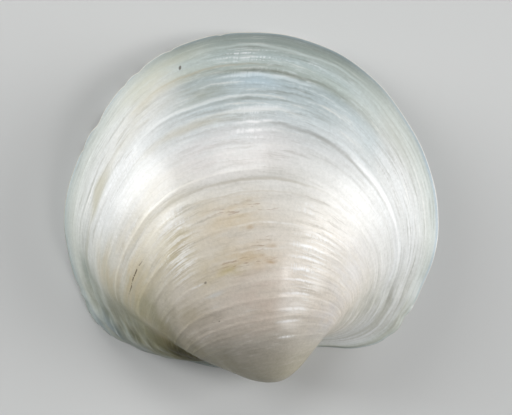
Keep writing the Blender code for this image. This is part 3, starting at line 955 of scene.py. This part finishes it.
# %% Specks: dashes of rust, a chain of pits and single pits
RUST = ((0.455, 0.03, 92, 13, 0.5), (0.57, 0.04, 88, 5, 0.5), (0.63, 0.03, 93, 15, 0.5))
PITS = (
    (0.07, 0.0072, 107.2, 0.36, 0.85), (0.668, 0.0065, 107.7, 0.7, 0.55),
    (0.874, 0.0055, 107.2, 0.45, 0.6),
)
flecks = eased(streaks(0.16, 15.0, 1.0, 61.0), 0.57, 0.67)
colour = lay(colour, RUST, 0.8, flecks, hue="#8f6236")
links = eased(streaks(0.8, 50.0, 1.0, 67.0), 0.45, 0.55)
chain = times(spot(0.433, 0.0045, 134.5, 9.5, 0.7), links, 0.9)
colour = tint(colour, chain, "#4f402b")
colour = lay(colour, PITS, 0.6, hue="#4a3f33")
print("single pits:", len(PITS))

# %% Shader of the outer face
ARAGONITE_IOR = 1.53  # the lowest of aragonite's three
ROUGHNESS = (0.38, 0.52)  # on the dark and on the light streaks
COAT = 0.35  # a thin smooth skin, which gives the soft gloss
COAT_ROUGHNESS = 0.2
# Relief too fine for the mesh, as (strength, height in metres)
DASH_RELIEF = (0.5, 0.00002)
GRAIN_RELIEF = (0.8, 0.00004)
STREAK_HEIGHT = 0.00003  # metres

roughness = put(RANGE, fine, 0.3, 0.7, *ROUGHNESS)
bumpy = put("ShaderNodeBump", clear, STREAK_HEIGHT, into={"Height": fine})
names = {"Height": dashes, "Normal": bumpy}
bumpy = put("ShaderNodeBump", *DASH_RELIEF, into=names)
names = {"Height": grain, "Normal": bumpy}
bumpy = put("ShaderNodeBump", *GRAIN_RELIEF, into=names)
# The shell below the beak, dark with stain and painted shade, is dull.
dull = spot(0.85, 0.50, 159, 20, 1.0)
coat = eased(dull, 0.0, 0.5, COAT, 0.0)
shine = eased(dull, 0.0, 0.5, 0.5, 0.1)
names = {"Base Color": colour, "Roughness": roughness, "Normal": bumpy}
names |= {"IOR": ARAGONITE_IOR, "Specular IOR Level": shine}
names |= {"Coat Weight": coat, "Coat Roughness": COAT_ROUGHNESS}
shader = put("ShaderNodeBsdfPrincipled", into=names)
put("ShaderNodeOutputMaterial", shader)
print("outer finish:", len(tree.nodes), "nodes")

# %% [markdown]
# ### Finish of the inside
#
# Inside, the shell is chalky white. The mantle was fastened along the pallial line, a few
# millimetres from the edge, and outside it the shell is smoother and lets more light through.
# The two muscle scars shine, because there the layers are laid down flat. The photograph
# doesn't show this side, so it follows other lucinids. The grid of the inside kept each
# point's distance from the edge, which is what the pallial line needs.

# %% Inner finish
PALLIAL_LINE = 5.0  # mm from the inner edge
PALLIAL_SWAY = 1.6  # mm that the line sways inward and back
# Chalky aragonite gives the eye a dull white with fine pores.
inner, here = finish("chalky_aragonite")
from_edge = put("ShaderNodeAttribute", attribute_name="from_edge").outputs["Fac"]
sway = put(NOISE, here, 0.35, 2.0, 0.5)
from_edge = put(MULTIPLY_ADD, sway, PALLIAL_SWAY, from_edge)
chalky = eased(from_edge, PALLIAL_LINE + 0.6, PALLIAL_LINE + 1.2)
patches = put(NOISE, here, 0.14, 3.0, 0.6)
pores = put(NOISE, here, 3.0, 3.0, 0.7)
colour = tint("#dfe2de", chalky, "#efece4")
colour = tint(colour, eased(patches, 0.40, 0.75, 0.0, 0.5), "#e2d8c0")
on_line = times(eased(from_edge, PALLIAL_LINE + 0.3, PALLIAL_LINE + 0.8), chalky, 4.0)
colour = tint(colour, eased(on_line, 0.0, 1.0, 0.0, 0.12), "#b7b3a4", "MULTIPLY")
scarred = 0.0
for scar in SCARS:
    one = eased(off_scar(here, *scar), 0.86, 1.0, 1.0, 0.0)
    scarred = put(MAXIMUM, scarred, one)
colour = tint(colour, times(scarred, 0.6), "#d9d3c2")
colour = tint(colour, eased(pores, 0.30, 0.50, 0.20, 0.0), "#a9a597", "MULTIPLY")
matt = put(RANGE, chalky, 0.0, 1.0, 0.35, 0.6)
roughness = put(RANGE, scarred, 0.0, 1.0, matt, 0.25)
PORE_HEIGHT = 0.00004  # metres
bumpy = put("ShaderNodeBump", chalky, PORE_HEIGHT, into={"Height": pores})
names = {"Base Color": colour, "Roughness": roughness, "Normal": bumpy, "IOR": ARAGONITE_IOR}
shader = put("ShaderNodeBsdfPrincipled", into=names)
put("ShaderNodeOutputMaterial", shader)
print("inner finish:", len(tree.nodes), "nodes, pallial line at", PALLIAL_LINE, "mm")

# %% [markdown]
# ## Growing the valve
#
# The modifier's inputs are set by their identifiers before it runs for the first time. The
# result is then kept as a plain mesh, so that nothing is left to compute later.

# %% Grow and keep the mesh
valve = bpy.data.objects.new("valve", bpy.data.meshes.new("valve"))
bpy.context.scene.collection.objects.link(valve)
grower = valve.modifiers.new("grow a valve", "NODES")
grower.node_group = shape
chosen = {"Margin": margin, "Outer finish": outer, "Inner finish": inner} | SIZES | COUNTS
for item in shape.interface.items_tree:
    if item.in_out == "INPUT":
        grower[item.identifier] = chosen[item.name]
bpy.context.view_layer.update()
graph = bpy.context.evaluated_depsgraph_get()
mesh = bpy.data.meshes.new_from_object(
    valve.evaluated_get(graph), preserve_all_data_layers=True, depsgraph=graph
)
valve.modifiers.clear()
valve.data = mesh
mesh.name = "valve"
bpy.data.objects.remove(margin)
print("triangles:", sum(len(face.vertices) - 2 for face in mesh.polygons))

# %% Turn its faces outward
SHARP = math.radians(50)  # edges that turn more than this stay sharp
turned = bmesh.new()
turned.from_mesh(mesh)
bmesh.ops.recalc_face_normals(turned, faces=turned.faces)
open_edges = sum(len(edge.link_faces) != 2 for edge in turned.edges)
volume = turned.calc_volume(signed=True)
turned.to_mesh(mesh)
turned.free()
mesh.set_sharp_from_angle(angle=SHARP)
print("open edges:", open_edges, "volume in cubic mm:", round(volume * MM**3, 1))

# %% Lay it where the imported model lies
places = np.empty(3 * len(mesh.vertices), np.float32)
mesh.vertices.foreach_get("co", places)
places = places.reshape(-1, 3)
middle = (places.min(axis=0) + places.max(axis=0)) / 2
cad_middle = (valve_low + valve_high) / 2
shift = (cad_middle.x - middle[0], cad_middle.y - middle[1], valve_low.z - places[:, 2].min())
places += np.array(shift, np.float32)
mesh.vertices.foreach_set("co", places.ravel())
mesh.update()
print("moved by mm:", [round(float(MM * step), 3) for step in shift])

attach(valve, "root")
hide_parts("left_valve")

# %% [markdown]
# ## Table
#
# The photograph shows the shell alone on black. Here it lies on a plain pale table instead, so
# that its shadow shows how it rests. The table is only a stage and isn't part of the model.

# %% Table
HALF_TABLE = 1.5  # metres
CORNERS = ((-1, -1), (1, -1), (1, 1), (-1, 1))
table_mesh = bpy.data.meshes.new("table")
corners = [(HALF_TABLE * x, HALF_TABLE * y, 0) for x, y in CORNERS]
table_mesh.from_pydata(corners, [], [(0, 1, 2, 3)])
table = bpy.data.objects.new("table", table_mesh)
bpy.context.scene.collection.objects.link(table)
# Matt paper gives the eye a pale ground without any glint.
paper = bpy.data.materials.new("matt_paper")
paper.use_nodes = True
shader = paper.node_tree.nodes["Principled BSDF"]
shader.inputs["Base Color"].default_value = linear("#d3d4d3")
shader.inputs["Roughness"].default_value = 0.9
table_mesh.materials.append(paper)
print("table:", 2 * HALF_TABLE, "m wide")

# %% [markdown]
# ## Lamps
#
# The shading in the photograph tells where its light came from. Both flanks are nearly white
# and the lower end and the beak are grey, so two large lamps stood low to the left and right
# and a weaker one behind the lower end. The small lamp gives the short glints on the ridges
# before the beak, along with painted highlights. A lamp all round would be simpler, but the
# relief would go flat.

# %% Lamps
ROOM_LIGHT = 0.08  # strength of the light from all round


def lamp(name, azimuth, elevation, distance, size, power):
    """A soft rectangular lamp that looks at the shell from that direction."""
    data = bpy.data.lights.new(name, "AREA")
    data.shape = "RECTANGLE"
    data.size, data.size_y = size
    data.energy = power
    thing = bpy.data.objects.new(name, data)
    a, e = math.radians(azimuth), math.radians(elevation)
    out = distance * math.cos(e)
    thing.location = (out * math.cos(a), out * math.sin(a), distance * math.sin(e))
    thing.rotation_mode = "QUATERNION"
    thing.rotation_quaternion = thing.location.to_track_quat("Z", "Y")
    bpy.context.scene.collection.objects.link(thing)
    thing.visible_camera = False


lamp("left_lamp", 162, 21, 0.45, (0.22, 0.32), 1.80)
lamp("right_lamp", 0, 21, 0.45, (0.22, 0.32), 1.60)
lamp("glint_lamp", -32, 48, 0.45, (0.07, 0.07), 0.3)
lamp("top_lamp", 86, 46, 0.6, (0.30, 0.15), 0.92)
world = bpy.data.worlds.new("soft_room")
bpy.context.scene.world = world
world.use_nodes = True
background = world.node_tree.nodes["Background"].inputs
background["Color"].default_value = linear("#d5dade")
background["Strength"].default_value = ROOM_LIGHT

# %% [markdown]
# ## Camera
#
# The camera looks straight down. The width of its frame follows from the shell: 50 mm of it
# take up a known share of the photograph. From 0.6 m up the perspective is as weak as in a
# close-up made with a long lens.

# %% Camera
FRAME_WIDTH = 0.06845  # what the photograph takes in at the height of the table
CAMERA_HEIGHT = 0.6
ASIDE = (0.00063, -0.00013)  # from the middle of the shell to the middle of the photograph
SENSOR = 36.0  # mm
camera_data = bpy.data.cameras.new("camera")
camera_data.sensor_width = SENSOR
camera_data.lens = SENSOR * CAMERA_HEIGHT / FRAME_WIDTH
camera = bpy.data.objects.new("camera", camera_data)
camera.location = (cad_middle.x + ASIDE[0], cad_middle.y + ASIDE[1], CAMERA_HEIGHT)
bpy.context.scene.collection.objects.link(camera)
bpy.context.scene.camera = camera
bpy.context.scene.view_settings.view_transform = "Standard"
print("the frame is", MM * FRAME_WIDTH, "mm wide on the table")
